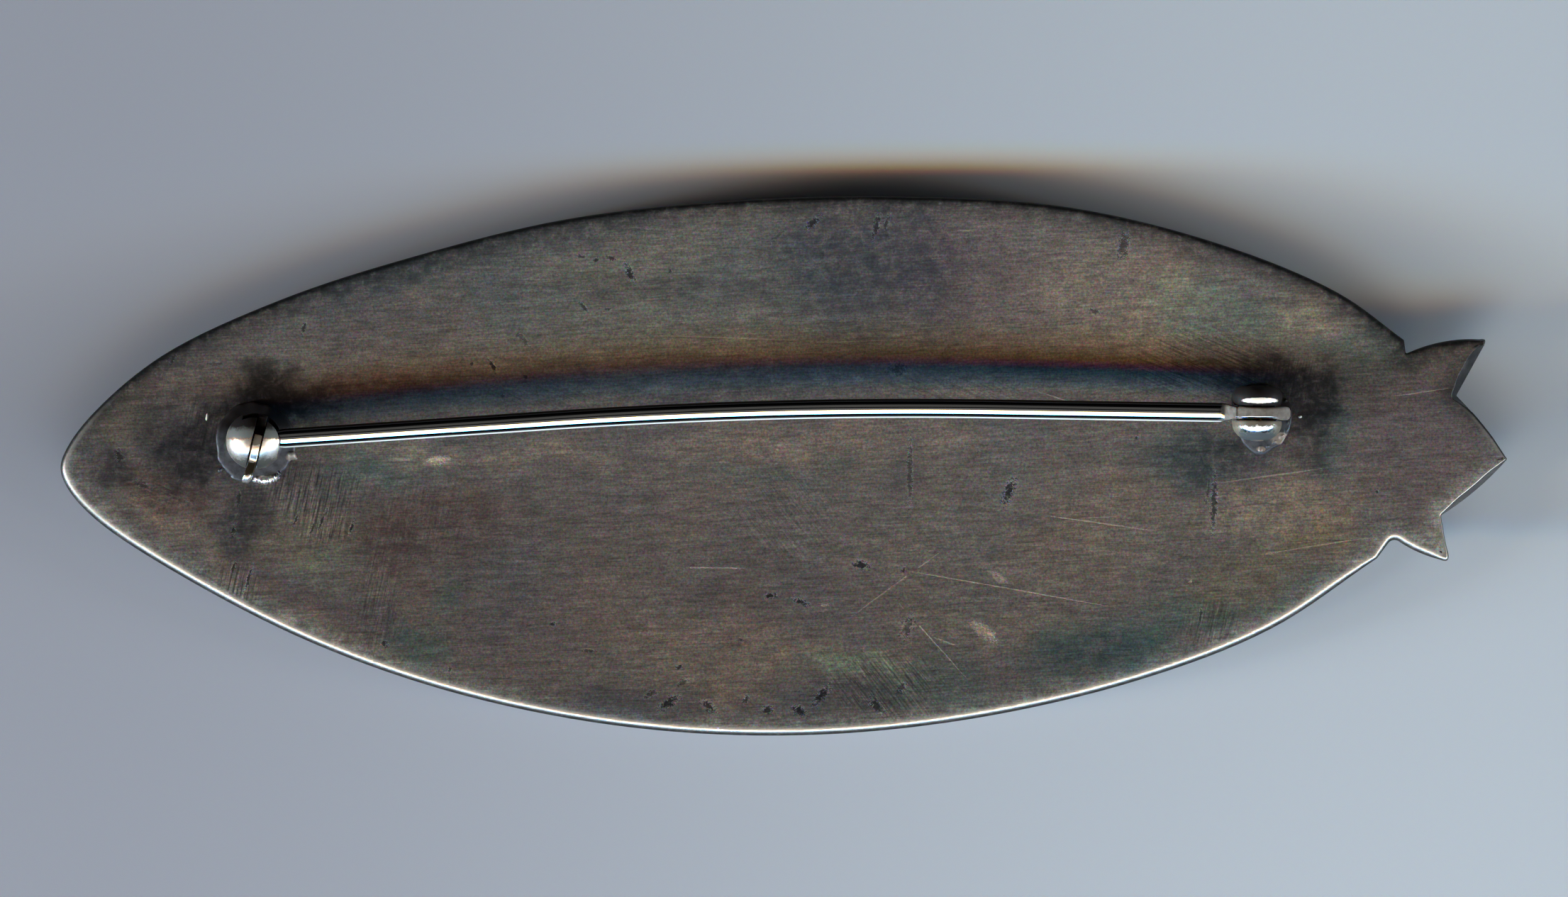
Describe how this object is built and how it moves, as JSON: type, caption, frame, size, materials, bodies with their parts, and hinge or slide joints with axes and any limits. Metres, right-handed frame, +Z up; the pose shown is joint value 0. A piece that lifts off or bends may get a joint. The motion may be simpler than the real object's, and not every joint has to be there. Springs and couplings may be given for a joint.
{
  "type": "fish brooch",
  "caption": "Dished silver fish-shaped brooch with a riveted pin stem and a locking ball catch soldered to its back.",
  "frame": {"origin": "under the middle of the outline, at the lowest point of the domed front that the brooch lies on", "axes": "+X from the nose to the tail, +Y to the fish's upper edge as the back is seen, +Z up out of the back"},
  "size_m": [0.0861, 0.0322, 0.0059],
  "materials": {
    "tarnished_silver": "satin sheet silver, grey-brown tarnish with teal and purple patches and fine scratches",
    "bright_silver": "polished silver with grey tarnish in the corners",
    "stem_wire": "bright drawn and polished wire"
  },
  "bodies": {
    "brooch": {"fish_body": "tarnished_silver", "hinge_rivet": "bright_silver"},
    "lever": {"catch_lever": "bright_silver"},
    "stem": {"pin_stem": "stem_wire"}
  },
  "joints": [
    {"name": "pin_swing", "type": "hinge", "parent": "brooch", "child": "stem", "pos_m": [0.0281, 0.00315, 0.00442], "axis": [0.0157, 0.9999, 0], "range_deg": [0, 110]},
    {"name": "catch_turn", "type": "hinge", "parent": "brooch", "child": "lever", "pos_m": [-0.0315, 0.0015, 0.00419], "axis": [-0.9728, 0.2317, 0], "range_deg": [0, 50]}
  ]
}
